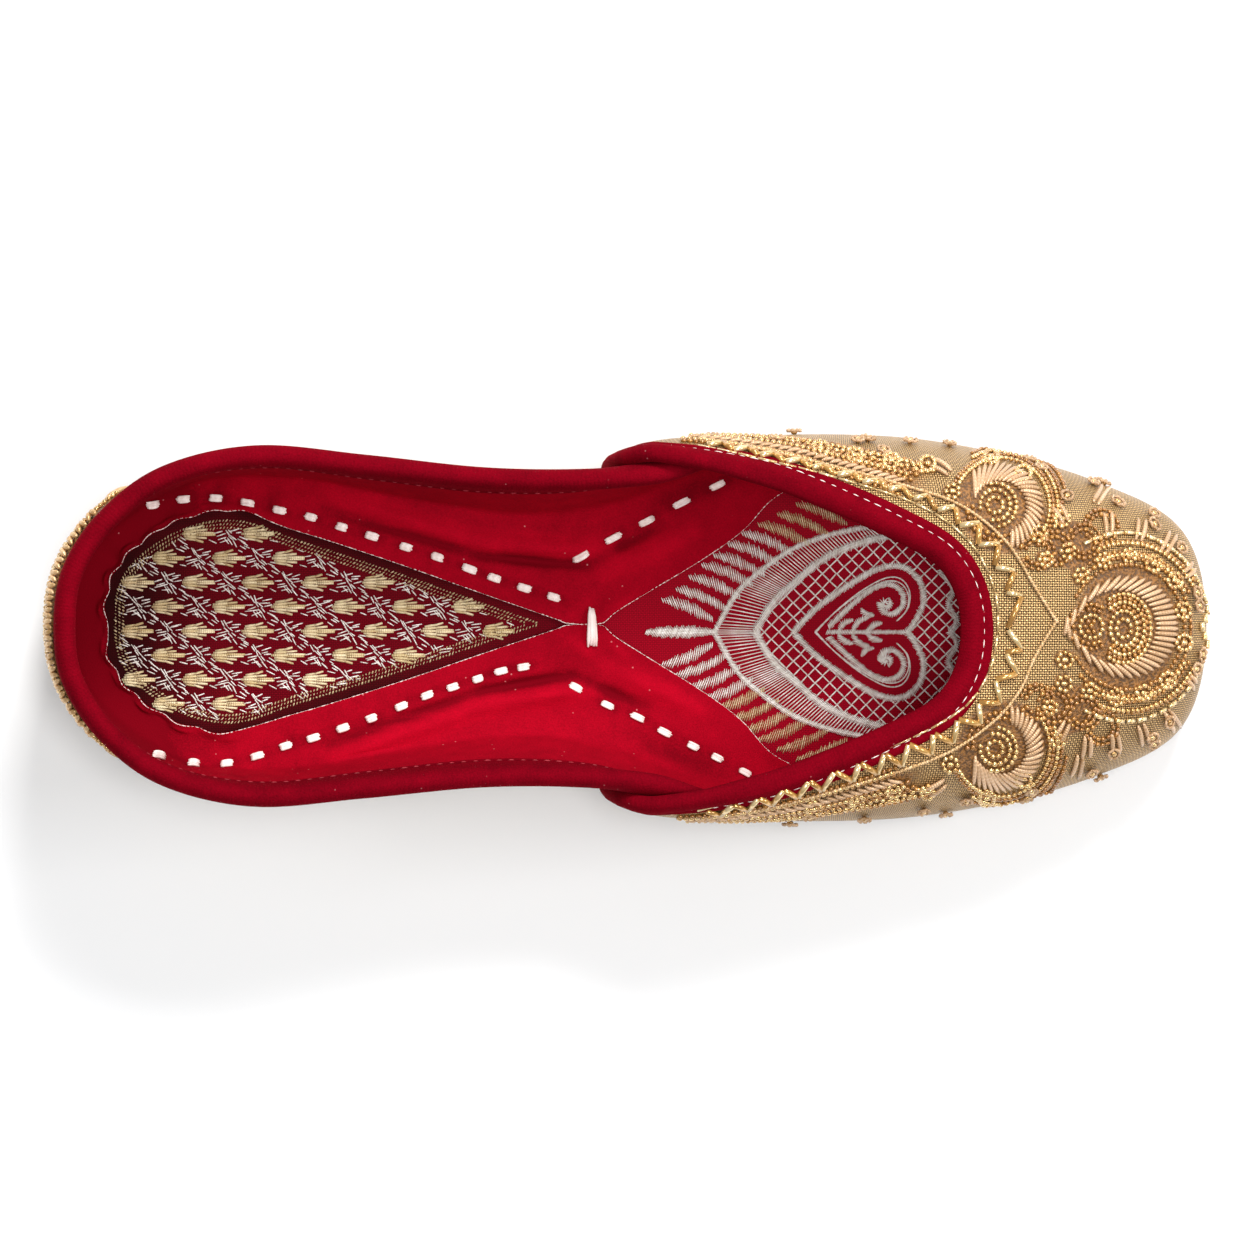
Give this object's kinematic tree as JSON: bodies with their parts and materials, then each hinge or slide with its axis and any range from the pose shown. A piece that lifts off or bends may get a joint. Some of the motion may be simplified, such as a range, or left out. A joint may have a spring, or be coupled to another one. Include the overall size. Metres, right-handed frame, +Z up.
{
  "type": "mojari shoe",
  "caption": "Flat slip-on mojari shoe with a low heel, gold embroidered vamp, red velvet edges and lining, and a squared round toe.",
  "frame": {"origin": "middle of the shoe's box, on the floor that the sole stands on", "axes": "+X from heel to toe, +Y to the left side, +Z up"},
  "size_m": [0.255, 0.085, 0.0603],
  "materials": {
    "sole_leather": "smooth vegetable tanned leather with waxed edges",
    "heel_leather": "stacked leather, waxed",
    "cream_hide": "cream grain leather outside, red velvet lining inside",
    "gold_tissue": "gold metallic tissue weave under glass and bullion beadwork",
    "red_velvet": "short red velvet nap",
    "beadwork": "seed beads and bullion loops over gold tissue",
    "insole_board": "matt split leather",
    "heel_brocade": "glossy maroon brocade with gold buds",
    "fore_satin": "red satin with silver thread lace"
  },
  "bodies": {
    "root": {"outsole": "sole_leather", "heel": "heel_leather", "upper": "cream_hide", "vamp": "gold_tissue", "collar_binding": "red_velvet", "throat_binding": "red_velvet", "heel_patch": "beadwork", "insole": "insole_board", "heel_sock": "heel_brocade", "fore_sock": "fore_satin", "lining_flaps": "red_velvet"}
  },
  "joints": []
}
